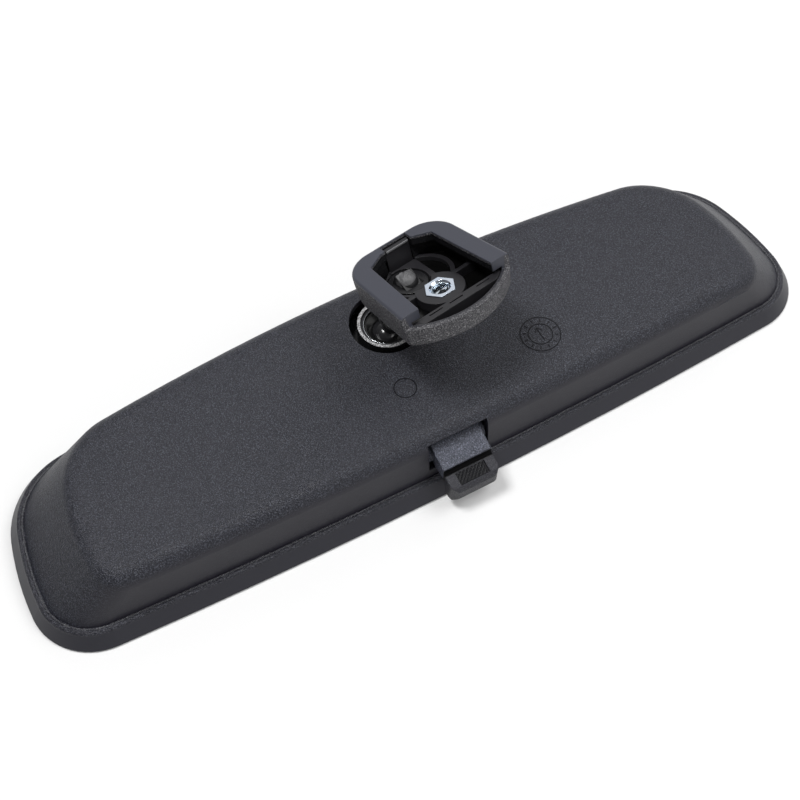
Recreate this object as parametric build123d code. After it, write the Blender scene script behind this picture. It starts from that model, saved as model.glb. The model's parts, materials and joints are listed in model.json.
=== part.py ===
from build123d import *
import os
from math import cos, pi, sqrt

# Interior rearview mirror with a day and night prism glass, a flip lever, a ball
# joint and a windshield shoe. Millimetres. The glass side lies on z = 0 and +Z
# leaves the back. +X is the long axis and +Y the edge that is uppermost in use.

# ---- outline of the head: big arcs joined by tangent corner arcs ----
half_length = 125.1
half_height = 36.2
top_arc_r = 690.0
bottom_arc_r = 1980.0
side_arc_r = 96.0
side_arc_drop = 14.3
corner_top_r = 25.6
corner_bottom_r = 18.4

# ---- bezel ----
rim_h = 5.7
rim_draft = 3.0
rim_foot_h = 0.4
rim_foot_in = 0.3
rim_wall = 4.4
rim_inner_bevel = 0.5
lip_t = 1.3
lip_overlap = 1.3
rim_edge_r = 0.9

# ---- rear housing ----
housing_gap = 0.1
plug_wall = 1.4
wall = 2.2
ledge_h = 5.3
crown_h = 22.5
crown_near_in = 6.0
crown_far_in = 9.3
crown_end_in = 20.0
crown_near_r = 9.0
crown_far_r = 25.0
shoulder_r = 5.5
inner_shoulder_r = 2.0

# ---- prism glass ----
glass_fit = 0.5
glass_bottom_t = 2.2
glass_top_t = 4.2
coat_t = 0.15
foam_t = 0.5
foam_in = 1.6

# ---- mechanism, centred on mech_x ----
mech_x = -1.5
pin_r = 1.2
pin_fit = 0.05
pivot_in = 14.2
pivot_z = 14.0
ear_x = 27.0
ear_t = 3.0
ear_w = 8.0
barrel_r = 2.7
barrel_gap = 0.4

# ---- ball joint ----
ball_r = 5.0
ball_y = 11.0
ball_z = 15.6
ball_fit = 0.05
shell_t = 0.7
cup_t = 1.0
cup_fit = 0.08
collar_in_r = 7.6
collar_wall = 0.9
collar_top_h = 22.0
hole_gap = 2.4
ring_t = 2.8
spring_h = 0.9
cover_t = 0.7
neck_r = 2.2
ring_low = 2.0
ring_neck = 3.0
shell_rim = 1.5

# ---- flip lever ----
lever_in = 9.2
lever_z = 12.5
lever_w = 15.4
hub_r = 3.2
hub_gap = 0.3
crank = 6.6
link_r = 1.1
link_fit = 0.3
notch_w = 19.0
notch_top_h = 20.0
notch_low_h = 9.3
lever_under = 9.6
lever_ear_x = 12.4
crank_x = 5.0
crank_t = 2.4
fork_half_w = 2.6
lip_reach = 5.6
lip_gap = 0.8
lip_low = 4.3
lip_corner_r = 2.6
lip_brow_r = 0.6
thumb_w = 9.4
thumb_recess = 0.3
thumb_edge = 0.35
detent_t = 0.5
detent_gap = 0.3

# ---- windshield shoe, in its own tilted frame ----
shoe_at = (6.0, 4.9, 52.6)
shoe_lean = 20.0
shoe_roll = 3.2
shoe_turn = 7.5
shoe_half_w = 18.0
shoe_rear_half_w = 16.2
shoe_rear = 15.9
shoe_front = -15.6
shoe_nose = -23.3
shoe_rear_r = 9.0
shoe_front_r = 2.0
plate_t = 3.0
plate_edge_r = 0.8
nose_drop = 4.0
body_depth = 10.5
body_taper = 0.8
body_edge_r = 2.0
body_wall = 2.0
floor_t = 1.5
channel_front_half_w = 12.2
channel_rear_half_w = 10.4
channel_corner = 9.4
channel_end = 12.4
channel_end_half_w = 5.0
window_w = 8.8
window_depth = 2.6
window_x = 0.8

# ---- stud and arm ----
stud_x = -2.5
stud_y = 4.5
stud_rise = 2.4
stud_r = 3.2
stud_square = 5.6
stud_square_h = 3.4
peen_r = 3.2
peen_h = 1.5
arm_start = 10.5
arm_foot_r = 4.8
arm_top_r = 9.4
arm_end_gap = 4.2
arm_boss_r = 5.2
arm_boss_h = 1.6

# ---- clamp screw and nut ----
clamp_x = 0.8
clamp_y = -5.7
nut_flats = 8.0
nut_h = 3.0
nut_fit = 0.1
nut_proud = 0.2
nut_mouth_r = 3.1
nut_mouth_h = 0.7
screw_r = 2.35
screw_tail = 3.2
screw_sink = 1.5
clamp_boss_r = 7.0

# ---- insert in the shoe ----
insert_fit = 0.3
rail_w = 2.8
rail_drop = 4.2
rib_t = 1.3
rib_h = 2.7
arc_rib_r = 9.7
arc_rib_x = 1.5
arc_rib_y = 4.8
web_x = -4.0
web_w = 8.6
web_h = 1.9

# ---- latch spring in the shoe's window ----
latch_w = 8.0
latch_t = 0.6
latch_curl_r = 0.9
latch_top = -0.7
latch_gap = 0.8


def unit(v):
    return v * (1 / v.length)


def meet(centre_a, reach_a, centre_b, reach_b, side):
    """Point at the two given distances from two centres, to the right and on the side wanted in Y."""
    across = centre_b - centre_a
    span = across.length
    along = (reach_a**2 - reach_b**2 + span**2) / (2 * span)
    off = sqrt(max(reach_a**2 - along**2, 0))
    foot = centre_a + across * (along / span)
    normal = Vector(-across.Y, across.X) * (1 / span)
    found = [foot + normal * off, foot - normal * off]
    return max(found, key=lambda p: p.X + side * p.Y)


def head_outline(top_in=0.0, bottom_in=0.0, side_in=0.0, corners=None):
    """The head's outline, moved inwards by its own amount along each edge."""
    rt = corner_top_r - (top_in + side_in) / 2
    rb = corner_bottom_r - (bottom_in + side_in) / 2
    if corners:
        rt, rb = corners
    top_r = top_arc_r - top_in
    bottom_r = bottom_arc_r - bottom_in
    side_r = side_arc_r - side_in
    top_c = Vector(0, half_height - top_arc_r)
    bottom_c = Vector(0, bottom_arc_r - half_height)
    side_c = Vector(half_length - side_arc_r, -side_arc_drop)
    top_k = meet(top_c, top_r - rt, side_c, side_r - rt, 1)
    bottom_k = meet(bottom_c, bottom_r - rb, side_c, side_r - rb, -1)

    p1 = top_c + unit(top_k - top_c) * top_r
    p2 = side_c + unit(top_k - side_c) * side_r
    p3 = side_c + unit(bottom_k - side_c) * side_r
    p4 = bottom_c + unit(bottom_k - bottom_c) * bottom_r
    top_mid = top_k + unit((p1 - top_k) + (p2 - top_k)) * rt
    side_mid = side_c + unit((p2 - side_c) + (p3 - side_c)) * side_r
    bottom_mid = bottom_k + unit((p3 - bottom_k) + (p4 - bottom_k)) * rb

    def flip(p):
        return Vector(-p.X, p.Y)

    right = [(p1, top_mid, p2), (p2, side_mid, p3), (p3, bottom_mid, p4)]
    left = [(flip(c), flip(b), flip(a)) for a, b, c in reversed(right)]
    top = (flip(p1), Vector(0, half_height - top_in), p1)
    bottom = (p4, Vector(0, bottom_in - half_height), flip(p4))
    arcs = [ThreePointArc(*three) for three in [top] + right + [bottom] + left]
    return make_face(arcs)


def ring_in(inset):
    return head_outline(inset, inset, inset)


def between(low_face, low_z, high_face, high_z):
    """Straight-sided solid between two outlines at two heights."""
    return loft([Pos(0, 0, low_z) * low_face, Pos(0, 0, high_z) * high_face], ruled=True)


def rod(x0, x1, y, z, r):
    """Round bar along X."""
    return Pos((x0 + x1) / 2, y, z) * Rot(0, 90, 0) * Cylinder(r, x1 - x0)


def block(x0, x1, y0, y1, z0, z1):
    return Pos((x0 + x1) / 2, (y0 + y1) / 2, (z0 + z1) / 2) * Box(x1 - x0, y1 - y0, z1 - z0)


def side_profile(points, x0, x1):
    """Solid with the given profile in Y and Z, from x0 to x1."""
    face = Plane.YZ * make_face(Polyline(*points, close=True))
    return Pos(x0, 0, 0) * extrude(face, x1 - x0)


# ---------------------------------------------------------------- head
plug_in = rim_wall + housing_gap
lever_y = lever_in - half_height
pivot_y = half_height - pivot_in
glass_in = plug_in + plug_wall + glass_fit
opening_in = glass_in + lip_overlap
collar_r = collar_in_r + collar_wall
hole_r = collar_r + hole_gap


def make_bezel():
    """Rim with a sloped outer band, a rounded bead along its top and a lip over the glass."""
    foot = between(ring_in(rim_foot_in), 0, ring_in(0), rim_foot_h)
    band = between(ring_in(0), rim_foot_h, ring_in(rim_draft), rim_h)
    body = foot + band
    top_edges = [e for e in body.edges() if min(v.Z for v in e.vertices()) > rim_h - 0.01]
    body = fillet(top_edges, rim_edge_r)
    bevel = rim_inner_bevel
    body -= extrude(Pos(0, 0, lip_t) * ring_in(rim_wall), rim_h)
    body -= between(ring_in(rim_wall), rim_h - bevel, ring_in(rim_wall - bevel), rim_h)
    body -= extrude(Pos(0, 0, -1) * ring_in(opening_in), lip_t + 2)
    return body


def shell_form(inset, top_z, foot_z, round_r):
    """Drafted body under the crown: the housing's outside, or its inside when inset."""
    foot = ring_in(plug_in + inset)
    corners = (crown_far_r, crown_near_r)
    top = head_outline(crown_far_in + inset, crown_near_in + inset, crown_end_in + inset, corners)
    body = extrude(Pos(0, 0, foot_z) * foot, ledge_h - foot_z)
    body += between(foot, ledge_h, top, top_z)
    rim = [e for e in body.edges() if min(v.Z for v in e.vertices()) > top_z - 0.01]
    return fillet(rim, round_r)


def make_housing():
    outside = shell_form(0, crown_h, lip_t + housing_gap, shoulder_r)
    inside = shell_form(wall, crown_h - wall, -1, inner_shoulder_r)
    plug_bore = extrude(ring_in(plug_in + plug_wall), lip_t + glass_top_t + coat_t + housing_gap)
    body = outside - inside - plug_bore

    ears = []
    for side in (-1, 1):
        x = mech_x + side * ear_x
        ears.append(block(x - ear_t / 2, x + ear_t / 2, pivot_y - ear_w / 2, pivot_y + ear_w / 2,
                          pivot_z - ear_w / 2, crown_h))
        x = mech_x + side * lever_ear_x
        ears.append(block(x - ear_t / 2, x + ear_t / 2, lever_y - ear_w / 2, lever_y + ear_w / 2,
                          lever_z - ear_w / 2, crown_h))
    for ear in ears:
        body += ear & outside
    body -= Pos(mech_x, ball_y, crown_h) * Cylinder(hole_r, 3 * wall)
    body -= block(mech_x - notch_w / 2, mech_x + notch_w / 2, -half_height - 5,
                  -half_height + crown_near_in + wall + 1.5, notch_low_h, notch_top_h)
    span = ear_x + ear_t / 2 + 1
    body -= rod(mech_x - span, mech_x + span, pivot_y, pivot_z, pin_r)
    body -= rod(mech_x - span, mech_x + span, lever_y, lever_z, pin_r)
    return body


def glass_layer(inset, low, thick):
    """Sheet behind the wedge: its rear faces run parallel to the wedge's rear face."""
    reach = half_height - glass_in
    slope = (glass_top_t - glass_bottom_t) / (2 * reach)

    def rear(y, up):
        return lip_t + glass_bottom_t + (y + reach) * slope + up

    y0, y1 = -half_height, half_height
    front = [(y0, lip_t), (y1, lip_t)] if low is None else [(y0, rear(y0, low)), (y1, rear(y1, low))]
    top = 0 if low is None else low
    sheet = side_profile(front + [(y1, rear(y1, top + thick)), (y0, rear(y0, top + thick))],
                         -half_length, half_length)
    return sheet & extrude(ring_in(inset), crown_h)


def make_carrier_pins():
    outer = ear_x + ear_t / 2
    inner = barrel_in
    return Compound([rod(mech_x + a, mech_x + b, pivot_y, pivot_z, pin_r)
                     for a, b in ((-outer, -inner), (inner, outer))])


def make_detent_spring():
    top = crown_h - wall
    low = lever_z + hub_r + detent_gap
    y = lever_y
    t = detent_t
    points = [(y + 15, top), (y + 15, top - t), (y + 9, top - t), (y + 2, low), (y - 1, low + 0.4),
              (y - 1, low + 0.4 + t), (y + 2, low + t), (y + 8.6, top)]
    return side_profile(points, mech_x + lever_w / 2 + 0.6, mech_x + lever_w / 2 + 2.6)


# ---------------------------------------------------------------- carrier and ball joint
barrel_out = ear_x - ear_t / 2 - barrel_gap
barrel_in = barrel_out - 8
link_y = lever_y + crank
plate_half_t = 1.1
shell_r = ball_r + ball_fit + shell_t
cup_seat_r = shell_r + cup_fit
cup_bottom = ball_z - cup_seat_r - cup_t
spring_bottom = cup_bottom - spring_h
cover_bottom = spring_bottom - cover_t


def make_carrier():
    outline = Polyline((-barrel_out, pivot_y + barrel_r), (barrel_out, pivot_y + barrel_r),
                       (barrel_out - 3, ball_y), (7, link_y + 7), (fork_half_w, link_y + 5),
                       (-fork_half_w, link_y + 5), (-7, link_y + 7), (3 - barrel_out, ball_y),
                       close=True)
    face = make_face(outline)
    plate = extrude(Pos(mech_x, 0, pivot_z - plate_half_t) * face, 2 * plate_half_t)
    for x in (-1, 1):
        window = extrude(RectangleRounded(7, 9, 2), 2 * plate_half_t, both=True)
        plate -= Pos(mech_x + x * 14, ball_y + 3.5, pivot_z) * window
        barrel = rod(mech_x + x * barrel_in, mech_x + x * barrel_out, pivot_y, pivot_z, barrel_r) \
            if x > 0 else rod(mech_x - barrel_out, mech_x - barrel_in, pivot_y, pivot_z, barrel_r)
        plate += barrel
    fork_r = link_r + link_fit
    fork = block(mech_x - fork_half_w, mech_x + fork_half_w, link_y - fork_r - 0.4, link_y + 7,
                 lever_z - fork_r - 1.5, pivot_z + plate_half_t)
    slot = block(mech_x - 4, mech_x + 4, link_y - 5, link_y + fork_r, lever_z - fork_r, lever_z + fork_r)
    rib = block(mech_x - 0.8, mech_x + 0.8, link_y + 5, ball_y, pivot_z - 3, pivot_z)
    collar = Pos(mech_x, ball_y, (cover_bottom + collar_top_h) / 2) * Cylinder(
        collar_r, collar_top_h - cover_bottom)
    body = plate + fork + rib + collar - slot
    body -= Pos(mech_x, ball_y, ball_z) * Cylinder(collar_in_r, 3 * ball_z)
    body -= rod(mech_x - ear_x, mech_x + ear_x, pivot_y, pivot_z, pin_r + pin_fit)
    return body


def turned(points, x=mech_x, y=ball_y):
    """Solid of revolution about a vertical axis, from radius and height points."""
    face = Plane.XZ * make_face(Polyline(*points, close=True))
    return Pos(x, y, 0) * revolve(face, Axis.Z)


def ball_at(r):
    return Pos(mech_x, ball_y, ball_z) * Sphere(r)


def make_retainer_ring():
    low = ball_z + ring_low
    high = low + ring_t
    mouth = sqrt((ball_r + ball_fit) ** 2 - ring_neck**2)
    body = turned([(mouth, low), (collar_in_r, low), (collar_in_r, high), (mouth + 1.9, high),
                   (mouth, ball_z + ring_neck)])
    return body - ball_at(ball_r + ball_fit)


def make_circlip():
    low = ball_z + ring_low + ring_t
    body = turned([(collar_in_r - 0.9, low), (collar_in_r, low), (collar_in_r, low + 0.8),
                   (collar_in_r - 0.9, low + 0.8)])
    return body - Pos(mech_x, ball_y + collar_in_r, low) * Box(3, 4, 4)


def make_cup():
    r = collar_in_r - cup_fit
    body = turned([(0, cup_bottom), (r, cup_bottom), (r, ball_z - 2), (0, ball_z - 2)])
    return body - ball_at(cup_seat_r)


def make_friction_shell():
    cap = Pos(mech_x, ball_y, ball_z - shell_rim - shell_r / 2) * Box(4 * ball_r, 4 * ball_r, shell_r)
    return (ball_at(shell_r) & cap) - ball_at(ball_r + ball_fit)


def make_wave_spring():
    return turned([(4, spring_bottom), (collar_in_r - 0.3, spring_bottom),
                   (collar_in_r - 0.3, cup_bottom - cup_fit), (4, cup_bottom - cup_fit)])


def make_socket_cover():
    return turned([(1.6, cover_bottom), (collar_in_r, cover_bottom), (collar_in_r, spring_bottom),
                   (1.6, spring_bottom)])


# ---------------------------------------------------------------- flip lever
def make_lever():
    """Grained pad, groove, knurled thumb face and rounded lip, on a hub with two crank arms."""
    y, z = lever_y, lever_z
    outer = -half_height - lip_reach
    pad_in, pad_out = (y - 1.2, z + 4.4), (y - 8.7, z + 1.6)
    thumb_in, thumb_out = (pad_out[0] - 0.9, z - 0.5), (outer + 0.8, z - 1.6)
    points = [
        (y + 0.8, z + 3.1), pad_in, pad_out, (pad_out[0] - 0.1, z + 0.1), (thumb_in[0] + 0.3, z - 0.6),
        thumb_in, thumb_out, (outer, z - 3.2), (outer + 0.2, lip_low + 1.3), (outer + 1.5, lip_low),
        (-half_height - lip_gap - 0.3, lip_low), (-half_height - lip_gap, lever_under),
        (y - 4.2, lever_under), (y - 2.4, z - 2.1), (y + 0.8, z - 3),
    ]
    half = lever_w / 2
    body = side_profile(points, mech_x - half, mech_x + half)
    corners = [e for e in body.edges() if abs(e.center().X - mech_x) > half - 0.01
               and e.center().Y < thumb_out[0] + 1 and e.center().Z < z]
    ends = [e for e in corners if e.center().Y < outer + 0.3]
    body = fillet(ends, lip_corner_r)
    brow = [e for e in body.edges() if e.center().Y < thumb_out[0] + 0.1 and e.center().Z > z - 2]
    body = fillet(brow, lip_brow_r)

    slope = (thumb_out[1] - thumb_in[1]) / (thumb_out[0] - thumb_in[0])
    edge = thumb_edge
    recess = [(thumb_in[0] - edge, thumb_in[1] - edge * slope - thumb_recess), (thumb_in[0] - edge, z + 2),
              (thumb_out[0] + edge, z + 2), (thumb_out[0] + edge, thumb_out[1] + edge * slope - thumb_recess)]
    body -= side_profile(recess, mech_x - thumb_w / 2, mech_x + thumb_w / 2)

    hub_half = notch_w / 2 - hub_gap
    body += rod(mech_x - hub_half, mech_x + hub_half, y, z, hub_r)
    for side in (-1, 1):
        a = mech_x + side * crank_x - crank_t / 2
        arm = side_profile([(y, z - 2.4), (y, z + 2.4), (link_y, z + 2), (link_y, z - 2)], a, a + crank_t)
        body += arm + rod(a, a + crank_t, link_y, z, 2)
    body -= block(mech_x - crank_x + crank_t / 2, mech_x + crank_x - crank_t / 2, y + hub_r + 0.01,
                  link_y + 6, z - 5, z + 6)
    body -= rod(mech_x - lever_ear_x, mech_x + lever_ear_x, y, z, pin_r + pin_fit)
    body -= rod(mech_x - lever_w, mech_x + lever_w, link_y, z, link_r)
    return body


def make_lever_pin():
    reach = lever_ear_x + ear_t / 2
    return rod(mech_x - reach, mech_x + reach, lever_y, lever_z, pin_r)


def make_link_pin():
    reach = crank_x + crank_t / 2
    return rod(mech_x - reach, mech_x + reach, link_y, lever_z, link_r)


# ---------------------------------------------------------------- bracket, in the shoe's frame
place = Pos(*shoe_at) * Rot(-shoe_lean, -shoe_roll, shoe_turn)
ball_local = (place.inverse() * Pos(mech_x, ball_y, ball_z)).position
floor_top = floor_t - body_depth
nut_top = floor_top + nut_h
stud_end = Vector(stud_x, stud_y, floor_top + stud_rise)
stud_len = (stud_end - ball_local).length
arm_frame = Plane(origin=ball_local, z_dir=stud_end - ball_local).location
arm_end = stud_len - arm_end_gap


def arm_round(h0, r0, h1, r1):
    """Round taper on the arm's axis, by distance from the ball's centre."""
    return arm_frame * Pos(0, 0, (h0 + h1) / 2) * (
        Cylinder(r0, h1 - h0) if r0 == r1 else Cone(r0, r1, h1 - h0))


def shoe_outline(inset=0.0):
    """Plan of the shoe: square rear with round corners and a bowed nose."""
    rear = shoe_rear
    left, right = (-shoe_half_w, shoe_front), (shoe_half_w, shoe_front)
    rear_left, rear_right = (-shoe_rear_half_w, rear), (shoe_rear_half_w, rear)
    face = make_face([Line(left, rear_left), Line(rear_left, rear_right), Line(rear_right, right),
                      ThreePointArc(right, (0, shoe_nose), left)])
    corners = face.vertices().sort_by(Axis.Y)
    face = fillet(corners[-2:], shoe_rear_r)
    corners = [v for v in face.vertices() if abs(v.Y - shoe_front) < 0.01]
    face = fillet(corners, shoe_front_r)
    return offset(face, -inset) if inset else face


def shoe_room(gap=0.0):
    """Room inside the shoe above its floor, less a gap all round."""
    inset = body_wall + gap
    return between(shoe_outline(inset + body_taper), floor_top, shoe_outline(inset), -plate_t)


def channel_face():
    """Wedge channel between the shoe's two lips, wider at the open end."""
    side = [(channel_rear_half_w, channel_corner), (channel_end_half_w, channel_end)]
    mirrored = [(-x, y) for x, y in reversed(side)]
    front = shoe_nose - 5
    spread = (channel_front_half_w - channel_rear_half_w) / (channel_corner - shoe_front)
    half = channel_front_half_w + spread * (shoe_front - front)
    return make_face(Polyline((-half, front), (half, front), *side, *mirrored, close=True))


def make_shoe():
    low = -body_depth
    wide = 2 * shoe_half_w
    full = shoe_outline()
    body = between(shoe_outline(body_taper), low, full, -plate_t)
    bottom = [e for e in body.edges() if max(v.Z for v in e.vertices()) < low + 0.01]
    body = fillet(bottom, body_edge_r)
    plate = extrude(Pos(0, 0, -plate_t) * full, plate_t)
    top = [e for e in plate.edges() if min(v.Z for v in e.vertices()) > -0.01]
    body += fillet(top, plate_edge_r)
    body -= block(-wide, wide, -wide, shoe_front, -nose_drop, 1)

    arm = arm_round(arm_start, arm_foot_r, arm_end, arm_top_r)
    body += arm & block(-wide, wide, -wide, wide, low - 2 * wide, low + body_edge_r)
    body -= shoe_room()
    nose_room = shoe_outline(body_wall) & Pos(0, shoe_front - wide / 2) * Rectangle(2 * wide, wide)
    body -= extrude(Pos(0, 0, -nose_drop) * nose_room, plate_t)
    body -= extrude(Pos(0, 0, -plate_t) * channel_face(), plate_t + 1)
    body -= block(window_x - window_w / 2, window_x + window_w / 2, channel_end - 1,
                  channel_end + window_depth, floor_top, 1)
    boss = arm_round(arm_end - 3, arm_boss_r, stud_len + 3, arm_boss_r)
    body += boss & block(-wide, wide, -wide, wide, low, floor_top + arm_boss_h)
    body -= arm_round(arm_start - 1, neck_r + 0.1, arm_start + 2, neck_r + 0.1)
    body -= arm_round(arm_start + 2, stud_r, stud_len - stud_square_h, stud_r)
    body -= arm_frame * Pos(0, 0, stud_len) * Box(stud_square, stud_square, 2 * stud_square_h)
    body -= Pos(clamp_x, clamp_y, low) * Cylinder(screw_r + 0.25, body_depth)
    return body


def make_stud():
    """Ball, slim neck, shank and a square end that stops the arm turning."""
    square_at = stud_len - stud_square_h / 2
    body = arm_frame * Sphere(ball_r)
    body += arm_round(0, neck_r, arm_start + 2, neck_r)
    body += arm_round(arm_start + 2, stud_r, stud_len - stud_square_h, stud_r)
    body += arm_frame * Pos(0, 0, square_at) * Box(stud_square, stud_square, stud_square_h)
    peen = Sphere(peen_r) & Pos(0, 0, peen_r - peen_h / 2) * Box(2 * peen_r, 2 * peen_r, peen_h)
    return body + arm_frame * Pos(0, 0, stud_len + peen_h - peen_r) * peen


def nut_hex(extra=0.0):
    return RegularPolygon((nut_flats + extra) / 2, 6, major_radius=False)


def make_insert():
    """Ribbed tray in the shoe: nut boss, cross rail, ribs and an arc round the stud."""
    low = floor_top
    wide = 2 * shoe_half_w
    boss = Pos(clamp_x, clamp_y, 0) * extrude(Pos(0, 0, low) * Circle(clamp_boss_r), nut_h - nut_proud)
    rail_y = shoe_front - 0.4
    rib_y = clamp_y + 2.6
    ribs = [
        block(-wide, wide, rail_y - rail_w / 2, rail_y + rail_w / 2, low, -rail_drop),
        block(clamp_x - rib_t / 2, clamp_x + rib_t / 2, rail_y, clamp_y, low, low + rib_h),
        block(-wide, wide, rib_y - rib_t / 2, rib_y + rib_t / 2, low, low + rib_h),
        block(web_x, web_x + web_w, clamp_y, channel_end, low, low + web_h),
    ]
    arc = Pos(arc_rib_x, arc_rib_y) * (Circle(arc_rib_r) - Circle(arc_rib_r - rib_t))
    arc &= Pos(0, clamp_y + wide / 2) * Rectangle(2 * wide, wide)
    body = boss + extrude(Pos(0, 0, low) * arc, web_h - 0.5)
    for rib in ribs:
        body += rib
    body &= shoe_room(insert_fit)
    for x in (-9.5, -2.8, 6.2):
        body -= block(x, x + 4.4, rail_y + 0.2, rail_y + 0.7, -rail_drop - 1.2, 0)
    body -= arm_round(arm_end - 3, arm_boss_r + insert_fit, stud_len + 6, arm_boss_r + insert_fit)
    body -= Pos(clamp_x, clamp_y, low) * extrude(nut_hex(2 * nut_fit), 2 * nut_h)
    body -= block(window_x - window_w / 2, window_x + window_w / 2, channel_end - 0.6, wide, low, 1)
    return body


def make_nut():
    body = extrude(nut_hex(), nut_h)
    bore_r = screw_r + 0.1
    body -= Cylinder(bore_r, 4 * nut_h)
    body -= Pos(0, 0, nut_h - nut_mouth_h / 2) * Cone(bore_r, nut_mouth_r, nut_mouth_h)
    return Pos(clamp_x, clamp_y, floor_top) * body


def make_screw():
    top = nut_top - screw_sink
    low = -body_depth - screw_tail
    body = Pos(clamp_x, clamp_y, (top + low) / 2) * Cylinder(screw_r, top - low)
    body = chamfer(body.edges().filter_by(GeomType.CIRCLE), 0.4)
    return body - Pos(clamp_x, clamp_y, low) * extrude(RegularPolygon(1.25, 6, major_radius=False), 2.2)


def make_latch():
    """Strip that stands in the window and curls outwards at its top."""
    y = channel_end + latch_gap
    r = latch_curl_r
    top = latch_top
    inner_r = r - latch_t
    bend = cos(pi / 4)
    outside = ThreePointArc((y, top - r), (y + r * (1 - bend), top - r * (1 - bend)), (y + r, top))
    inside = ThreePointArc((y + r, top - latch_t), (y + r - inner_r * bend, top - r + inner_r * bend),
                           (y + latch_t, top - r))
    edges = [
        Line((y, floor_top + 0.3), (y, top - r)), outside,
        Line((y + r, top), (y + r, top - latch_t)), inside,
        Line((y + latch_t, top - r), (y + latch_t, floor_top + 0.3)),
        Line((y + latch_t, floor_top + 0.3), (y, floor_top + 0.3)),
    ]
    strip = extrude(Plane.YZ * make_face(edges), latch_w)
    return Pos(window_x - latch_w / 2, 0, 0) * strip


head_and_joint = {
    "bezel": make_bezel(),
    "rear_housing": make_housing(),
    "prism_glass": glass_layer(glass_in, None, 0),
    "silver_coat": glass_layer(glass_in + 0.4, 0, coat_t),
    "foam_pad": glass_layer(glass_in + foam_in, coat_t, foam_t),
    "carrier_pins": make_carrier_pins(),
    "lever_pin": make_lever_pin(),
    "detent_spring": make_detent_spring(),
    "toggle_carrier": make_carrier(),
    "retainer_ring": make_retainer_ring(),
    "retainer_clip": make_circlip(),
    "wave_spring": make_wave_spring(),
    "socket_cover": make_socket_cover(),
    "seat_cup": make_cup(),
    "friction_shell": make_friction_shell(),
    "toggle_lever": make_lever(),
    "link_pin": make_link_pin(),
}
bracket = {
    "ball_stud": make_stud(),
    "windshield_shoe": make_shoe(),
    "shoe_insert": make_insert(),
    "clamp_nut": make_nut(),
    "clamp_screw": make_screw(),
    "latch_spring": make_latch(),
}
parts = {**head_and_joint, **{name: place * solid for name, solid in bracket.items()}}

os.makedirs("parts", exist_ok=True)
for name, solid in parts.items():
    solid.label = name
    export_step(solid, f"parts/{name}.step")
print("ball centre", (mech_x, ball_y, ball_z), "arm axis", unit((place * Pos(*stud_end)).position
      - Vector(mech_x, ball_y, ball_z)))
latch_foot = (place * Pos(window_x, channel_end + latch_gap, floor_top + 0.3)).position
print("latch foot", latch_foot, "across", place.x_axis.direction, "normal", place.z_axis.direction)
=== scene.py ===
import json
from math import cos, pi, sin

import bpy
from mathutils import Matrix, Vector, noise


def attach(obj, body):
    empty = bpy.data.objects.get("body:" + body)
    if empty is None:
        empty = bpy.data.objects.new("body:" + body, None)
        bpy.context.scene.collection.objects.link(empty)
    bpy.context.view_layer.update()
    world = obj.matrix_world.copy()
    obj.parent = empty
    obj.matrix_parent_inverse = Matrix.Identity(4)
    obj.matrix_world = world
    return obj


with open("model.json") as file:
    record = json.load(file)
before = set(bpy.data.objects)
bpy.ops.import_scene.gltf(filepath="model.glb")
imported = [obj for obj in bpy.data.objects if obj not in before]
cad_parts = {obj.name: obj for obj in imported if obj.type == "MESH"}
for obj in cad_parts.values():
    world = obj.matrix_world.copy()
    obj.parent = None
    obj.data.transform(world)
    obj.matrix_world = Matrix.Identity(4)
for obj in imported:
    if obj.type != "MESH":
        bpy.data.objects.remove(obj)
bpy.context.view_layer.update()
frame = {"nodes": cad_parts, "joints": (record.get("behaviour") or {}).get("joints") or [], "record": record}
mm = 0.001
nodes = frame["nodes"]
joints = {joint["name"]: joint for joint in frame["joints"]}
mounts = {mount["name"]: mount for mount in frame["record"]["mounts"]}
print("frame loaded:", len(nodes), "nodes")


def pointOf(owner):
    return Vector(owner["pos_m"])


def axisOf(owner):
    return Vector(owner["axis"]).normalized()


# the shoe's own directions: out of its face, across it, and towards its square end
shoeUp = axisOf(mounts["shoe_face"])
shoeAcross = -axisOf(joints["latch_flex"])
shoeBack = shoeUp.cross(shoeAcross).normalized()
shoeMiddle = pointOf(mounts["button_channel"]) + shoeUp * 1.5 * mm
leverPivot = pointOf(joints["lever_flip"])
ballPivot = pointOf(joints["arm_twist"])


def inShoe(across, back, up):
    corner = pointOf(mounts["shoe_face"])
    return corner + (shoeAcross * across + shoeBack * back + shoeUp * up) * mm


# node helpers shared by every finish
def newFinish(name):
    finish = bpy.data.materials.new(name)
    finish.use_nodes = True
    return finish


def addNode(finish, kind, inputs=None, **settings):
    node = finish.node_tree.nodes.new(kind)
    for key, value in settings.items():
        setattr(node, key, value)
    for key, value in (inputs or {}).items():
        if isinstance(value, bpy.types.NodeSocket):
            finish.node_tree.links.new(value, node.inputs[key])
        else:
            node.inputs[key].default_value = value
    return node


def calc(finish, operation, *values):
    return addNode(finish, "ShaderNodeMath", dict(enumerate(values)), operation=operation).outputs[0]


def where(finish):
    return addNode(finish, "ShaderNodeTexCoord").outputs["Object"]


def split(finish, vector):
    return addNode(finish, "ShaderNodeSeparateXYZ", {0: vector}).outputs


def offsetAlong(finish, start, direction):
    away = addNode(finish, "ShaderNodeVectorMath", {0: where(finish), 1: start},
                   operation="SUBTRACT").outputs[0]
    return addNode(finish, "ShaderNodeVectorMath", {0: away, 1: direction},
                   operation="DOT_PRODUCT").outputs["Value"]


def rise(finish, value, low, high):
    # 0 below low, 1 above high, smooth between; low may be the larger of the two
    return addNode(finish, "ShaderNodeMapRange", {"Value": value, "From Min": low, "From Max": high},
                   interpolation_type="SMOOTHSTEP").outputs[0]


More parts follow.
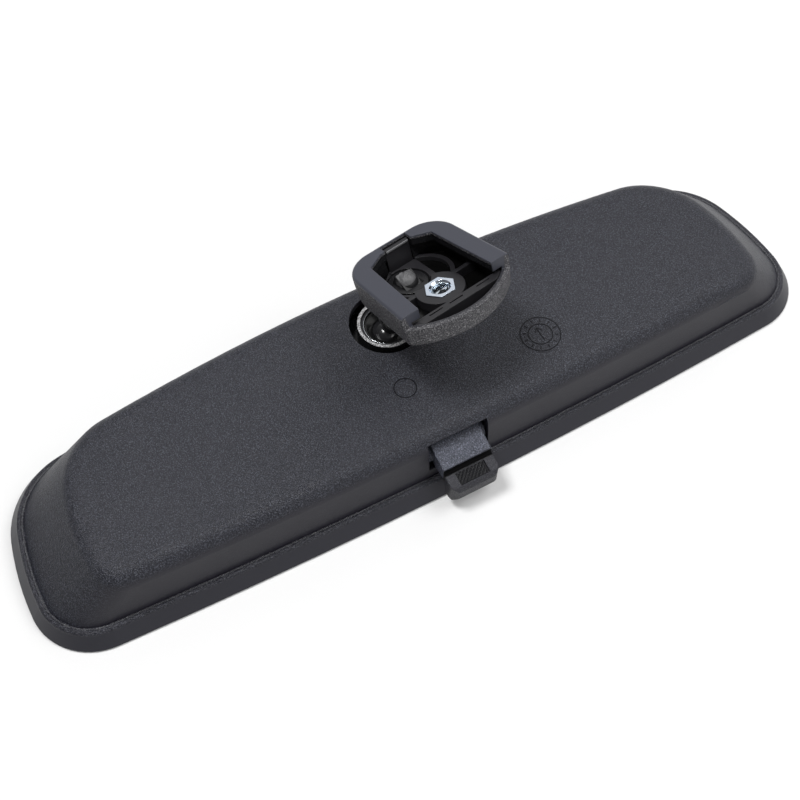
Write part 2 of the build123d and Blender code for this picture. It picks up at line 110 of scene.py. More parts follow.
def between(finish, factor, low, high):
    return addNode(finish, "ShaderNodeMapRange",
                   {"Value": factor, "To Min": low, "To Max": high}).outputs[0]


def blendColour(finish, factor, first, second):
    colours = {0: factor, 6: first if isinstance(first, bpy.types.NodeSocket) else (*first, 1),
               7: second if isinstance(second, bpy.types.NodeSocket) else (*second, 1)}
    return addNode(finish, "ShaderNodeMix", colours, data_type="RGBA").outputs[2]


def speckle(finish, size, detail=2.0):
    return addNode(finish, "ShaderNodeTexNoise", {"Vector": where(finish), "Scale": 1 / size,
                                                  "Detail": detail, "Roughness": 0.55}).outputs["Fac"]


def cells(finish, size):
    return addNode(finish, "ShaderNodeTexVoronoi",
                   {"Vector": where(finish), "Scale": 1 / size}).outputs["Distance"]


def dress(finish, colour, roughness, height, depth, edge):
    # rounds the edges by a hair and lays the grain over them
    soft = addNode(finish, "ShaderNodeBevel", {"Radius": edge}, samples=6).outputs[0]
    relief = addNode(finish, "ShaderNodeBump", {"Height": height, "Distance": depth, "Normal": soft})
    shader = finish.node_tree.nodes["Principled BSDF"]
    for key, socket in (("Base Color", colour), ("Roughness", roughness), ("Normal", relief.outputs[0])):
        finish.node_tree.links.new(socket, shader.inputs[key])
    return shader


def paint(node, finish):
    slots = nodes[node].data.materials
    for index in range(len(slots)):
        slots[index] = finish


# moulded grain: fine cells and specks, lighter at their tips, and shallower on the steep walls, which are
# painted darker as shade
grainLook = {
    "pit": (0.0040, 0.0044, 0.0085),
    "colour": (0.0135, 0.0142, 0.0205),
    "tip": (0.054, 0.058, 0.074),
    "size": 0.34 * mm,
    "fineShare": 1.3,
    "cellShare": 0.35,
    "depth": 0.20 * mm,
    "rough": (0.38, 0.48),
    "specular": 0.30,
    "edge": 0.35 * mm,
    "wall": (0.25, 0.65),
    # the steep walls' colour, darker as painted shade
    "wallShadeColour": (0.0095, 0.0085, 0.0145),
}


def grain(finish, look):
    fine = speckle(finish, look["size"], 1.0)
    bumps = cells(finish, look["size"] * 1.1)
    drift = speckle(finish, 24 * mm, 2.0)
    height = calc(finish, "SUBTRACT", calc(finish, "MULTIPLY", fine, look["fineShare"]),
                  calc(finish, "MULTIPLY", bumps, look["cellShare"]))
    dark = blendColour(finish, rise(finish, height, 0.30, 0.50), look["pit"], look["colour"])
    colour = blendColour(finish, rise(finish, height, 0.50, 0.80), dark, look["tip"])
    # drafted walls carry less grain than the faces that look up, and take a darker colour painted as shade
    facing = split(finish, addNode(finish, "ShaderNodeTexCoord").outputs["Normal"])[2]
    strength = between(finish, rise(finish, facing, *look["wall"]), 0.15, 1.0)
    strength = calc(finish, "MULTIPLY", strength, between(finish, drift, 0.8, 1.15))
    colour = blendColour(finish, strength, look["wallShadeColour"], colour)
    height = calc(finish, "MULTIPLY", height, strength)
    rough = between(finish, drift, *look["rough"])
    return colour, rough, height


def housingFinish():
    finish = newFinish("HousingGrain")
    shader = dress(finish, *grain(finish, grainLook), grainLook["depth"], grainLook["edge"])
    shader.inputs["Specular IOR Level"].default_value = grainLook["specular"]
    return finish


# the rim: smooth on its sloped band, grained along its bead
bezelLook = {**grainLook, "colour": (0.0145, 0.0145, 0.0205), "tip": (0.05, 0.052, 0.066),
             "beadFrom": 4.6 * mm, "beadTo": 5.3 * mm}


def bezelFinish():
    finish = newFinish("BezelSatin")
    colour, rough, height = grain(finish, bezelLook)
    up = split(finish, where(finish))[2]
    bead = rise(finish, up, bezelLook["beadFrom"], bezelLook["beadTo"])
    colour = blendColour(finish, bead, bezelLook["colour"], colour)
    height = calc(finish, "MULTIPLY", height, between(finish, bead, 0.12, 1.0))
    shader = dress(finish, colour, rough, height, bezelLook["depth"], bezelLook["edge"])
    shader.inputs["Specular IOR Level"].default_value = bezelLook["specular"]
    return finish


# the lever: wavy blue-grey grain on its pad, a groove painted black as shade, and a darker lip
leverLook = {
    "pit": (0.014, 0.017, 0.025),
    "pad": (0.040, 0.043, 0.058),
    "tip": (0.145, 0.155, 0.20),
    "lip": (0.0115, 0.0115, 0.0160),
    "lipTip": (0.062, 0.063, 0.075),
    "specular": 0.30,
    # near-black painted shade for the groove
    "groove": (0.001, 0.001, 0.001),
    "size": 0.32 * mm,
    "stretch": (1.5, 0.8, 0.8),
    "depth": 0.16 * mm,
    "rough": (0.40, 0.50),
    "padTo": -8.64 * mm,
    "grooveTo": -9.65 * mm,
    "edge": 0.5 * mm,
}


def leverFinish():
    look = leverLook
    finish = newFinish("LeverGrain")
    spot = addNode(finish, "ShaderNodeVectorMath", {0: where(finish), 1: look["stretch"]},
                   operation="MULTIPLY")
    waves = addNode(finish, "ShaderNodeTexNoise", {"Vector": spot.outputs[0], "Scale": 1 / look["size"],
                                                   "Detail": 1.0, "Distortion": 1.2}).outputs["Fac"]
    depth = split(finish, where(finish))[1]
    padEnd = leverPivot.y + look["padTo"]
    grooveEnd = leverPivot.y + look["grooveTo"]
    lip = rise(finish, depth, padEnd, padEnd - 0.2 * mm)
    past = rise(finish, depth, grooveEnd, grooveEnd - 0.2 * mm)
    low = rise(finish, waves, 0.35, 0.5)
    high = rise(finish, waves, 0.5, 0.72)
    pad = blendColour(finish, high, blendColour(finish, low, look["pit"], look["pad"]), look["tip"])
    colour = blendColour(finish, lip, pad, blendColour(finish, high, look["lip"], look["lipTip"]))
    # the groove between pad and lip is painted black as shade
    colour = blendColour(finish, calc(finish, "SUBTRACT", lip, past), colour, look["groove"])
    rough = between(finish, speckle(finish, 6 * mm), *look["rough"])
    shader = dress(finish, colour, rough, waves, look["depth"], look["edge"])
    shader.inputs["Specular IOR Level"].default_value = look["specular"]
    return finish


# smooth mouldings and coats: faint unevenness and handling marks in the gloss
smoothLook = {
    "colour": (0.012, 0.012, 0.013),
    "lighter": (0.018, 0.018, 0.020),
    "size": 0.7 * mm,
    "depth": 0.006 * mm,
    "rough": (0.16, 0.26),
    "edge": 0.2 * mm,
    "metallic": 0.0,
    "specular": 0.5,
}


def smooth(finish, look):
    drift = speckle(finish, 5 * mm, 3.0)
    fine = speckle(finish, look["size"], 3.0)
    colour = blendColour(finish, drift, look["colour"], look["lighter"])
    return colour, between(finish, calc(finish, "MULTIPLY", drift, fine), *look["rough"]), fine


def smoothFinish(name, **changes):
    look = {**smoothLook, **changes}
    finish = newFinish(name)
    shader = dress(finish, *smooth(finish, look), look["depth"], look["edge"])
    shader.inputs["Metallic"].default_value = look["metallic"]
    shader.inputs["Specular IOR Level"].default_value = look["specular"]
    return finish


# the shoe: satin lips, grained sides and nose, glossy black room inside, its deep floor painted near-black
# as shade
shoeLook = {
    "satin": (0.036, 0.038, 0.050),
    "satinRough": 0.40,
    "room": (0.008, 0.008, 0.009),
    # near-black painted shade for the deep floor of the room
    "floor": (0.002, 0.002, 0.002),
    "halfWidth": 16.4 * mm,
    "narrowing": 0.057,
    "taper": 0.107,
    "back": 15.2 * mm,
    "front": -15.5 * mm,
    "bowCentre": 1.6 * mm,
    "bow": 23.9 * mm,
    "lipDepth": (0.6 * mm, 0.3 * mm),
    "lipEndDepth": (3.9 * mm, 4.1 * mm),
    "roomDepth": (0.9 * mm, 1.1 * mm),
    "floorDepth": (8.3 * mm, 8.8 * mm),
    "grain": {**grainLook, "pit": (0.020, 0.020, 0.024), "colour": (0.056, 0.055, 0.060),
              "tip": (0.190, 0.188, 0.195), "size": 0.36 * mm, "wall": (-1.2, -1.0)},
    "edge": 0.4 * mm,
}


def shoeDepth(finish):
    return calc(finish, "MULTIPLY", offsetAlong(finish, shoeMiddle, shoeUp), -1.0)


def under(finish, value, limit):
    return rise(finish, value, limit + 0.1 * mm, limit - 0.1 * mm)


def shoeFinish():
    look = shoeLook
    finish = newFinish("ShoeSatin")
    colour, rough, height = grain(finish, look["grain"])
    across = calc(finish, "ABSOLUTE", offsetAlong(finish, shoeMiddle, shoeAcross))
    back = offsetAlong(finish, shoeMiddle, shoeBack)
    depth = shoeDepth(finish)
    lean = calc(finish, "MULTIPLY", depth, look["taper"])
    # inside the walls: by width, by length and by the bowed nose
    narrowing = calc(finish, "MULTIPLY", back, look["narrowing"])
    inside = under(finish, calc(finish, "ADD", calc(finish, "ADD", across, lean), narrowing),
                   look["halfWidth"])
    inside = calc(finish, "MULTIPLY", inside, under(finish, calc(finish, "ADD", back, lean), look["back"]))
    fromBow = calc(finish, "SUBTRACT", back, look["bowCentre"])
    fromBow = calc(finish, "SQRT", calc(finish, "ADD", calc(finish, "MULTIPLY", fromBow, fromBow),
                                        calc(finish, "MULTIPLY", across, across)))
    inside = calc(finish, "MULTIPLY", inside, under(finish, calc(finish, "ADD", fromBow, lean), look["bow"]))
    # the lips' front ends stay satin
    behind = calc(finish, "MAXIMUM", rise(finish, back, look["front"], look["front"] + 0.2 * mm),
                  rise(finish, depth, *look["lipEndDepth"]))
    lipEnds = inside
    inside = calc(finish, "MULTIPLY", inside, behind)
    room = calc(finish, "MULTIPLY", inside, rise(finish, depth, *look["roomDepth"]))
    lipEnds = calc(finish, "MULTIPLY", lipEnds, calc(finish, "SUBTRACT", 1.0, behind))
    lips = calc(finish, "MAXIMUM", rise(finish, depth, *look["lipDepth"]), lipEnds)
    colour = blendColour(finish, lips, colour, look["satin"])
    colour = blendColour(finish, room, colour, look["room"])
    # the room's deep floor is painted near-black as shade
    low = calc(finish, "MULTIPLY", room, rise(finish, depth, *look["floorDepth"]))
    colour = blendColour(finish, low, colour, look["floor"])
    rough = calc(finish, "SUBTRACT", between(finish, lips, 0.5, look["satinRough"]),
                 calc(finish, "MULTIPLY", room, 0.25))
    bare = calc(finish, "MAXIMUM", lips, room)
    height = calc(finish, "MULTIPLY", height, between(finish, bare, 1.0, 0.05))
    shader = dress(finish, colour, rough, height, look["grain"]["depth"], look["edge"])
    shader.inputs["Specular IOR Level"].default_value = grainLook["specular"]
    return finish


# the stud: glossy black, darker where it stands in the shoe
studLook = {"endDepth": 9.4 * mm, "end": (0.006, 0.006, 0.007)}


def studFinish():
    finish = newFinish("StudCoat")
    colour, rough, height = smooth(finish, smoothLook)
    end = rise(finish, shoeDepth(finish), studLook["endDepth"], studLook["endDepth"] - 0.2 * mm)
    colour = blendColour(finish, end, colour, studLook["end"])
    rough = calc(finish, "ADD", rough, calc(finish, "MULTIPLY", end, 0.3))
    dress(finish, colour, rough, height, smoothLook["depth"], smoothLook["edge"])
    return finish


# the carrier: glossy black, with a flecked grey ring on top of its collar painted as a highlight
collarLook = {"from": 21.75 * mm, "grey": (0.13, 0.13, 0.133), "highlightFleck": (0.50, 0.50, 0.51),
              "size": 0.45 * mm}


def carrierFinish():
    finish = newFinish("CarrierGloss")
    colour, rough, height = smooth(finish, smoothLook)
    top = rise(finish, split(finish, where(finish))[2], collarLook["from"], collarLook["from"] + 0.1 * mm)
    highlightFlecks = speckle(finish, collarLook["size"], 3.0)
    grey = blendColour(finish, rise(finish, highlightFlecks, 0.40, 0.62), collarLook["grey"], collarLook["highlightFleck"])
    # the collar top takes the grey ring, a painted highlight
    colour = blendColour(finish, top, colour, grey)
    rough = calc(finish, "ADD", rough, calc(finish, "MULTIPLY", top, 0.2))
    dress(finish, colour, rough, height, smoothLook["depth"], smoothLook["edge"])
    return finish


paint("rear_housing", housingFinish())
paint("bezel", bezelFinish())
paint("toggle_lever", leverFinish())
paint("windshield_shoe", shoeFinish())
paint("ball_stud", studFinish())
paint("toggle_carrier", carrierFinish())
paint("retainer_ring", smoothFinish("RingMoulding", colour=(0.003, 0.003, 0.003),
                                    lighter=(0.006, 0.006, 0.006)))
for node in ("shoe_insert", "latch_spring"):
    paint(node, smoothFinish("Satin_" + node, rough=(0.3, 0.42), colour=(0.0115, 0.0112, 0.0130),
                             lighter=(0.020, 0.0195, 0.022), specular=0.30))
steelLook = {"colour": (0.50, 0.52, 0.55), "lighter": (0.62, 0.64, 0.67), "rough": (0.2, 0.34),
             "edge": 0.1 * mm, "metallic": 1.0}
steelFinish = smoothFinish("PlainSteel", **steelLook)
for node in ("carrier_pins", "lever_pin", "link_pin", "detent_spring", "wave_spring", "socket_cover"):
    paint(node, steelFinish)
darkSteel = smoothFinish("DarkSteel", colour=(0.02, 0.02, 0.022), lighter=(0.05, 0.05, 0.055),
                         rough=(0.28, 0.4), metallic=0.6)
for node in ("retainer_clip", "clamp_screw"):
    paint(node, darkSteel)
paint("clamp_nut", smoothFinish("BrightZinc", **{**steelLook, "colour": (0.58, 0.66, 0.78),
                                                 "lighter": (0.80, 0.85, 0.93), "rough": (0.12, 0.26)}))
for node in ("seat_cup", "friction_shell"):
    paint(node, smoothFinish("Nylon_" + node, colour=(0.58, 0.57, 0.53), lighter=(0.66, 0.65, 0.61),
                             rough=(0.4, 0.5)))
paint("foam_pad", smoothFinish("Foam", colour=(0.02, 0.02, 0.022), lighter=(0.04, 0.04, 0.043),
                               rough=(0.8, 0.95), depth=0.1 * mm))


# a mirror's wide faces take their own flat normals, with no softened edge
def flatten(finish):
    normal = addNode(finish, "ShaderNodeNewGeometry").outputs["True Normal"]
    finish.node_tree.links.new(normal, finish.node_tree.nodes["Principled BSDF"].inputs["Normal"])
    return finish


# clear glass over silver: the glass keeps a faint green edge, the silver its mirror
def glassFinish():
    finish = smoothFinish("PrismGlass", colour=(0.90, 0.96, 0.93), lighter=(0.96, 0.99, 0.97),
                          rough=(0.0, 0.02))
    shader = finish.node_tree.nodes["Principled BSDF"]
    shader.inputs["Transmission Weight"].default_value = 1.0
    shader.inputs["IOR"].default_value = 1.52
    # its rear face is silvered, where the coat lies on it
    turned = calc(finish, "MULTIPLY", addNode(finish, "ShaderNodeNewGeometry").outputs["Backfacing"], 2.0)
    facing = split(finish, addNode(finish, "ShaderNodeTexCoord").outputs["Normal"])[2]
    outward = calc(finish, "MULTIPLY", facing, calc(finish, "SUBTRACT", 1.0, turned))
    finish.node_tree.links.new(rise(finish, outward, 0.5, 0.6), shader.inputs["Metallic"])
    return flatten(finish)


paint("prism_glass", glassFinish())
paint("silver_coat", flatten(smoothFinish("Silver", colour=(0.90, 0.91, 0.92), lighter=(0.95, 0.95, 0.96),
                                          rough=(0.02, 0.05), metallic=1.0)))
print("finishes laid on the nodes")


# helpers for the small pieces: a mesh or a round wire that rides on a body
def finishPiece(piece, body, finish):
    piece.data.materials.append(finish)
    bpy.context.scene.collection.objects.link(piece)
    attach(piece, body)


def meshPiece(name, points, faces, body, finish, smoothFaces=False):
    mesh = bpy.data.meshes.new(name)
    mesh.from_pydata([tuple(p) for p in points], [], faces)
    mesh.validate()
    if smoothFaces:
        mesh.polygons.foreach_set("use_smooth", [True] * len(mesh.polygons))
    piece = bpy.data.objects.new(name, mesh)
    finishPiece(piece, body, finish)
    return piece


def wirePiece(name, points, radius, body, finish, closed=True):
    curve = bpy.data.curves.new(name, "CURVE")
    curve.dimensions = "3D"
    curve.bevel_depth = radius
    curve.bevel_resolution = 3
    curve.use_fill_caps = True
    line = curve.splines.new("POLY")
    line.points.add(len(points) - 1)
    for target, point in zip(line.points, points):
        target.co = (*point, 1)
    line.use_cyclic_u = closed
    piece = bpy.data.objects.new(name, curve)
    finishPiece(piece, body, finish)
    return piece


# the grained bead that closes the seam between rim and housing; its grain tips are brighter than the rim's,
# as a painted highlight
beadLook = {"radius": 0.50 * mm, "seam": 5.2 * mm, "outward": 0.10 * mm, "up": 0.10 * mm,
            "tip": (0.085, 0.088, 0.098)}


def beadPath():
    spots = {}
    for vertex in nodes["bezel"].data.vertices:
        if abs(vertex.co.z - beadLook["seam"]) < 0.01 * mm:
            spots[(round(vertex.co.x, 5), round(vertex.co.y, 5))] = vertex.co
    spots = sorted(spots.values(), key=lambda co: Vector((1, 0)).angle_signed(Vector((co.x, co.y))))
    path = []
    for index, spot in enumerate(spots):
        along = spots[(index + 1) % len(spots)] - spots[index - 1]
        outward = Vector((along.y, -along.x, 0)).normalized()
        if outward.dot(spot) < 0:
            outward = -outward
        path.append(spot + outward * beadLook["outward"] + Vector((0, 0, beadLook["up"])))
    return path


def beadFinish():
    # the bead's brighter tips are a painted highlight
    look = {**bezelLook, "tip": beadLook["tip"], "wall": (-1.2, -1.0)}
    finish = newFinish("BeadGrainHighlight")
    dress(finish, *grain(finish, look), look["depth"], 0.1 * mm)
    return finish


wirePiece("rim_bead", beadPath(), beadLook["radius"], "head", beadFinish())

# the crown's moulded marks: a plain date dial with an arrow, and a small gate ring, raised and coloured
# near-black as painted shade
dialLook = {
    "centre": (35.1 * mm, -14.2 * mm),
    "outer": 5.85 * mm,
    "inner": 3.5 * mm,
    "ticks": 12,
    "width": 0.38 * mm,
    "height": 0.08 * mm,
    "gateCentre": (-7.8 * mm, -11.4 * mm),
    "gate": 3.2 * mm,
}


def onCrown(x, y):
    return nodes["rear_housing"].ray_cast((x, y, 0.05), (0, 0, -1))[1].z


def ridge(points, faces, path, closed):
    start = len(points)
    count = len(path)
    for index, (x, y) in enumerate(path):
        before = path[index - 1] if closed or index else path[index]
        after = path[(index + 1) % count] if closed or index < count - 1 else path[index]
        along = Vector((after[0] - before[0], after[1] - before[1])).normalized()
        side = Vector((-along.y, along.x)) * dialLook["width"] / 2
        z = onCrown(x, y)
        low, high = z - 0.1 * mm, z + dialLook["height"]
        points += [(x + side.x, y + side.y, low), (x + side.x * 0.7, y + side.y * 0.7, high),
                   (x - side.x * 0.7, y - side.y * 0.7, high), (x - side.x, y - side.y, low)]
    for index in range(count if closed else count - 1):
        one, two = start + 4 * index, start + 4 * ((index + 1) % count)
        faces += [(one + k, two + k, two + (k + 1) % 4, one + (k + 1) % 4) for k in range(4)]
    if not closed:
        last = start + 4 * (count - 1)
        faces += [(start, start + 1, start + 2, start + 3), (last + 3, last + 2, last + 1, last)]


def ringPath(centre, radius, count=64):
    return [(centre[0] + radius * cos(2 * pi * k / count), centre[1] + radius * sin(2 * pi * k / count))
            for k in range(count)]


def crownMarks():
    look = dialLook
    cx, cy = look["centre"]
    points, faces = [], []
    for radius in (look["outer"], look["inner"]):
        ridge(points, faces, ringPath(look["centre"], radius), True)
    for k in range(look["ticks"]):
        a = 2 * pi * k / look["ticks"]
        ridge(points, faces, [(cx + r * cos(a), cy + r * sin(a)) for r in (look["inner"] + 0.7 * mm,
                                                                          look["outer"] - 0.6 * mm)], False)
    # the arrow points at one tick
    ridge(points, faces, [(cx, cy - 2.4 * mm), (cx, cy + 2.2 * mm)], False)
    ridge(points, faces, [(cx - 1.1 * mm, cy + 1.0 * mm), (cx, cy + 2.4 * mm),
                          (cx + 1.1 * mm, cy + 1.0 * mm)], False)
    ridge(points, faces, ringPath(look["gateCentre"], look["gate"], 48), True)
    # the marks are coloured near-black as painted shade, as in engraved lines
    return meshPiece("crown_marks", points, faces, "head",
                     smoothFinish("MarkShadeBlack", colour=(0.002, 0.002, 0.003), lighter=(0.005, 0.005, 0.007),
                                  rough=(0.3, 0.4), edge=0.05 * mm, specular=0.2))


crownMarks()

# the knurled plate in the lever's thumb recess, coloured near-black as painted shade
knurlLook = {"x": (-6.2 * mm, 3.2 * mm), "y": (-36.95 * mm, -40.65 * mm), "z": (11.61 * mm, 10.69 * mm),
             "pitch": 0.62 * mm, "height": 0.30 * mm, "lift": 0.02 * mm, "thick": 0.15 * mm}


def knurl():
    look = knurlLook
    columns = round((look["x"][1] - look["x"][0]) / look["pitch"])
    rows = round((look["y"][0] - look["y"][1]) / look["pitch"])
    points, faces = [], []
    for j in range(rows + 1):
        for i in range(columns + 1):
            x = look["x"][0] + (look["x"][1] - look["x"][0]) * i / columns
            y = look["y"][0] + (look["y"][1] - look["y"][0]) * j / rows
            z = look["z"][0] + (look["z"][1] - look["z"][0]) * j / rows
            points.append((x, y, z + look["lift"] + (look["height"] if (i + j) % 2 else 0)))
    for j in range(rows):
        for i in range(columns):
            a = j * (columns + 1) + i
            b, c, d = a + 1, a + columns + 2, a + columns + 1
            faces += [(a, d, b), (b, d, c)] if (i + j) % 2 else [(a, d, c), (a, c, b)]
    # the plate is near-black as painted shade in the recess
    plate = meshPiece("thumb_knurl", points, faces, "lever",
                      smoothFinish("KnurlShadeBlack", colour=(0.003, 0.003, 0.004), lighter=(0.007, 0.007, 0.009),
                                   rough=(0.24, 0.32), edge=0.03 * mm, specular=0.5))
    thick = plate.modifiers.new("Thickness", "SOLIDIFY")
    thick.thickness = look["thick"]
    thick.offset = -1


knurl()

# the nut's thread and the cup end of its screw
threadLook = {"across": 15.0, "back": -5.7, "bore": 2.55, "crest": 2.12, "top": -6.5, "pitch": 0.5,
              "flank": 0.23, "turns": 2.4, "stepsPerTurn": 40}
cupLook = {"radius": 1.93, "top": -7.46, "dome": 0.5, "skirt": 0.1, "rays": 6,
           "rayHeights": (0.42, 0.0, 0.0, 0.0)}


def ringSpot(radius, angle, up):
    return inShoe(threadLook["across"] + radius * cos(angle), threadLook["back"] + radius * sin(angle), up)


def nutThread():
    look = threadLook
    perTurn, flank = look["stepsPerTurn"], look["flank"]
    steps = round(perTurn * look["turns"])
    points, faces = [], []
    for k in range(steps + 1):
        a = 2 * pi * k / perTurn
        up = look["top"] - look["pitch"] * k / perTurn
        points += [ringSpot(look["bore"], a, up + flank), ringSpot(look["crest"], a, up),
                   ringSpot(look["bore"], a, up - flank)]
    for k in range(steps):
        one, two = 3 * k, 3 * k + 3
        faces += [(one + i, two + i, two + (i + 1) % 3, one + (i + 1) % 3) for i in range(3)]
    faces += [(0, 1, 2), (3 * steps + 2, 3 * steps + 1, 3 * steps)]
    zinc = smoothFinish("ThreadZinc", colour=(0.50, 0.62, 0.72), lighter=(0.85, 0.90, 0.95),
                        rough=(0.24, 0.36), edge=0.05 * mm, metallic=1.0)
    meshPiece("nut_thread", points, faces, "bracket", zinc, True)


def screwCup():
    look = cupLook
    top, low, heights = look["top"], look["top"] - look["skirt"], look["rayHeights"]
    count = look["rays"] * len(heights)
    points = [ringSpot(0, 0, top + look["dome"]), ringSpot(0, 0, low)]
    for k in range(count):
        a = 2 * pi * k / count
        points += [ringSpot(look["radius"], a, top + heights[k % len(heights)]),
                   ringSpot(look["radius"], a, low)]
    faces = []
    for k in range(count):
        one, two = 2 + 2 * k, 2 + 2 * ((k + 1) % count)
        faces += [(0, one, two), (1, two + 1, one + 1), (one, one + 1, two + 1, two)]
    meshPiece("screw_cup", points, faces, "bracket",
              smoothFinish("CupSteel", colour=(0.05, 0.055, 0.06), lighter=(0.12, 0.13, 0.14),
                           rough=(0.12, 0.2), edge=0.03 * mm, metallic=1.0))


nutThread()
screwCup()

# the stud's hammered end: a rough skin over its dome
peenLook = {"across": 11.25, "back": 5.42, "radius": 2.9, "lumps": 0.30, "lift": 0.03, "thick": 0.15,
            "rings": 16, "around": 56}


def onStud(across, back):
    start = inShoe(across, back, -1.0)
    hit, spot = nodes["ball_stud"].ray_cast(start, -shoeUp)[:2]
    return -1.0 - (start - spot).dot(shoeUp) / mm if hit else -7.0


def studPeen():
    look = peenLook
    points, faces = [], []
    around, rings = look["around"], look["rings"]
    for level in (0, 1):
        for j in range(rings + 1):
            reach = look["radius"] * max(j, 0.01) / rings
            for k in range(around):
                a = 2 * pi * k / around
                across = look["across"] + reach * cos(a)
                back = look["back"] + reach * sin(a)
                up = onStud(across, back)
                lump = noise.noise(Vector((across, back, 0)) * 1.1)
                lump += 0.7 * noise.noise(Vector((across, back, 5)) * 2.6)
                swell = look["lift"] + look["lumps"] * max(0.0, 0.5 + lump) * (1 - (j / rings) ** 3)
                points.append(inShoe(across, back, up + (swell if level else -look["thick"])))
    layer = (rings + 1) * around
    for j in range(rings):
        for k in range(around):
            one, two = j * around + k, j * around + (k + 1) % around
            faces.append((one, one + around, two + around, two))
            faces.append((layer + one, layer + two, layer + two + around, layer + one + around))
    for k in range(around):
        one, two = rings * around + k, rings * around + (k + 1) % around
        faces += [(one, layer + one, layer + two, two)]
    faces += [tuple(range(around)), tuple(reversed(range(layer, layer + around)))]
    meshPiece("stud_peen", points, faces, "bracket",
              smoothFinish("HammeredEnd", colour=(0.035, 0.035, 0.037), lighter=(0.11, 0.11, 0.115),
                           size=0.5 * mm, rough=(0.5, 0.65), depth=0.12 * mm, edge=0.1 * mm), True)


studPeen()

# a black sheet painted as the shadow in the groove between the lever's pad and its lip
grooveShadowLook = {"x": (-9.12 * mm, 6.12 * mm), "thick": 0.06 * mm,
            "line": ((-35.76, 13.60), (-35.85, 12.62), (-36.3, 11.96), (-36.56, 12.04))}


def leverGrooveShadow():
    points = [(x, y * mm, z * mm) for x in grooveShadowLook["x"] for y, z in grooveShadowLook["line"]]
    count = len(grooveShadowLook["line"])
    faces = [(k, k + 1, count + k + 1, count + k) for k in range(count - 1)]
    # the strip is a painted shadow, black and nearly without gloss
    strip = meshPiece("lever_groove_shadow", points, faces, "lever",
                      smoothFinish("GrooveShadowBlack", colour=(0.0010, 0.0010, 0.0012),
                                   lighter=(0.0025, 0.0025, 0.003), rough=(0.7, 0.9), edge=0.02 * mm,
                                   specular=0.06))
    thick = strip.modifiers.new("Thickness", "SOLIDIFY")
    thick.thickness = grooveShadowLook["thick"]
    thick.offset = 0


leverGrooveShadow()

# the latch's rolled edge and the bright inner edge of the clip
curlLook = {"across": (11.3, 18.7), "back": 13.45, "up": -1.45, "radius": 0.75 * mm}
wirePiece("latch_curl", [inShoe(across, curlLook["back"], curlLook["up"]) for across in curlLook["across"]],
          curlLook["radius"], "latch",
          smoothFinish("CurlSteel", colour=(0.02, 0.02, 0.022), lighter=(0.05, 0.05, 0.053),
                       rough=(0.2, 0.32), metallic=0.5), closed=False)
clipLook = {"radius": 6.72 * mm, "z": 21.2 * mm, "wire": 0.09 * mm}
clipPath = [Vector((x, y, clipLook["z"])) for x, y in ringPath(ballPivot, clipLook["radius"], 72)]
wirePiece("clip_edge", clipPath, clipLook["wire"], "carrier", steelFinish)
print("small pieces made")

# floor, light and camera
studioLook = {
    "floorReach": 4.0,
    "floorDrop": 0.2 * mm,
    "floorColour": (0.56, 0.56, 0.56),
    "floorGlow": 0.13,
    "horizon": 0.92,
    "zenith": 0.34,
    "fade": (0.15, 0.85),
    "leftSide": 0.20,
    "leftFade": (-0.7, 0.3),
    "topWatts": 7.5,
    "topAt": (0.60, -0.22, 1.05),
    "topSize": 0.6,
    "backWatts": 10.5,
    "backAt": (-0.33, 0.16, 1.05),
    "backSize": 0.30,
    "sideWatts": 1.7,
    "sideAt": (0.9, 0.5, 0.7),
    "sideSize": 0.6,
    "frontWatts": 2.1,
    "frontAt": (0.45, -1.0, 0.6),
    "frontSize": 0.4,
}

reach = studioLook["floorReach"]
floorMesh = bpy.data.meshes.new("Floor")
floorMesh.from_pydata([(-reach, -reach, 0), (reach, -reach, 0), (reach, reach, 0), (-reach, reach, 0)], [],
                      [(0, 1, 2, 3)])
floor = bpy.data.objects.new("Floor", floorMesh)
floor.location.z = -studioLook["floorDrop"]
bpy.context.scene.collection.objects.link(floor)
floorFinish = newFinish("FloorPaint")
floorShader = floorFinish.node_tree.nodes["Principled BSDF"]
floorShader.inputs["Base Color"].default_value = (*studioLook["floorColour"], 1)
floorShader.inputs["Roughness"].default_value = 0.9
floorShader.inputs["Emission Color"].default_value = (1, 1, 1, 1)
rays = addNode(floorFinish, "ShaderNodeLightPath").outputs
seen = calc(floorFinish, "MAXIMUM", rays["Is Camera Ray"],
            calc(floorFinish, "MAXIMUM", rays["Is Glossy Ray"], rays["Is Transmission Ray"]))
floorFinish.node_tree.links.new(calc(floorFinish, "MULTIPLY", seen, studioLook["floorGlow"]),
                                floorShader.inputs["Emission Strength"])
floorMesh.materials.append(floorFinish)

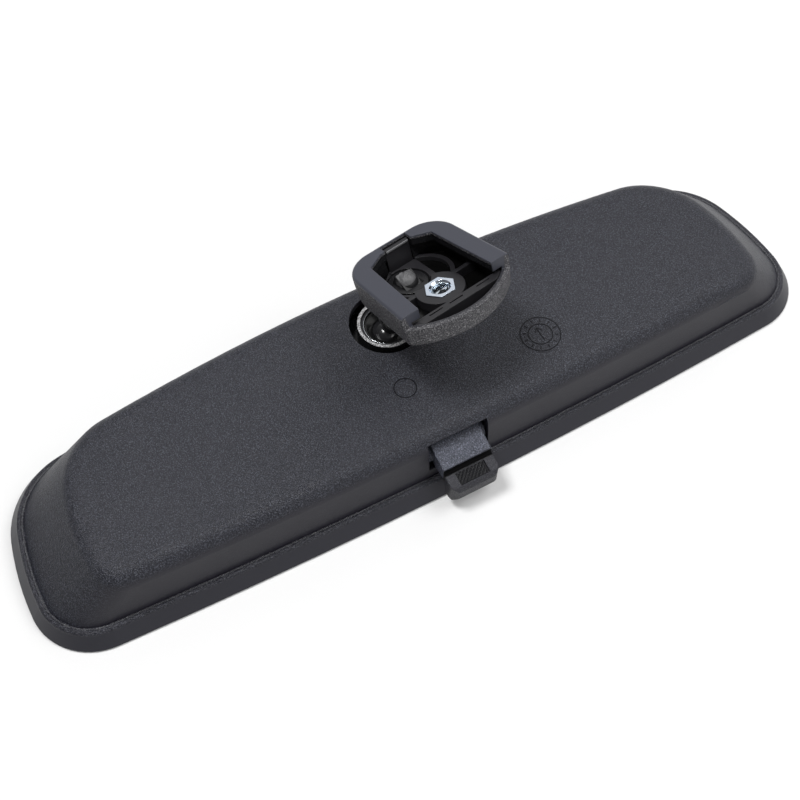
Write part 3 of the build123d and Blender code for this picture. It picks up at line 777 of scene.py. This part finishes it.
# a plain studio: pale at the horizon, dimmer overhead
world = bpy.data.worlds.new("Studio")
bpy.context.scene.world = world
world.use_nodes = True
world.node_tree.nodes.clear()
direction = addNode(world, "ShaderNodeTexCoord").outputs["Generated"]
sides = split(world, direction)
rightward, upward = sides[0], sides[2]
strength = addNode(world, "ShaderNodeMapRange",
                   {"Value": upward, "From Min": studioLook["fade"][0], "From Max": studioLook["fade"][1],
                    "To Min": studioLook["horizon"], "To Max": studioLook["zenith"]},
                   interpolation_type="SMOOTHSTEP").outputs[0]
dimLeft = between(world, rise(world, rightward, *studioLook["leftFade"]), studioLook["leftSide"], 1.0)
strength = calc(world, "MULTIPLY", strength, dimLeft)
sky = addNode(world, "ShaderNodeBackground", {"Color": (1, 1, 1, 1), "Strength": strength})
addNode(world, "ShaderNodeOutputWorld", {0: sky.outputs[0]})


def softbox(name, spot, size, watts):
    lamp = bpy.data.lights.new(name, "AREA")
    lamp.shape = "SQUARE"
    lamp.size = size
    lamp.energy = watts
    holder = bpy.data.objects.new(name, lamp)
    holder.location = spot
    holder.rotation_mode = "QUATERNION"
    holder.rotation_quaternion = (-Vector(spot)).to_track_quat("-Z", "Y")
    bpy.context.scene.collection.objects.link(holder)


for name in ("top", "back", "front", "side"):
    softbox(name.capitalize() + "Light", studioLook[name + "At"], studioLook[name + "Size"],
            studioLook[name + "Watts"])

cameraLook = {"lens": 62.73, "sensor": 36, "near": 0.02, "far": 20,
              "at": (-0.110866, -0.193586, 0.352081), "aim": (-0.004172, -0.001876, 0)}
camera = bpy.data.objects.new("Camera", bpy.data.cameras.new("Camera"))
camera.data.lens = cameraLook["lens"]
camera.data.sensor_width = cameraLook["sensor"]
camera.data.clip_start = cameraLook["near"]
camera.data.clip_end = cameraLook["far"]
camera.location = cameraLook["at"]
camera.rotation_mode = "QUATERNION"
camera.rotation_quaternion = (Vector(cameraLook["aim"]) - camera.location).to_track_quat("-Z", "Y")
bpy.context.scene.collection.objects.link(camera)
bpy.context.scene.camera = camera
bpy.context.scene.view_settings.view_transform = "Standard"
print("studio and camera set")
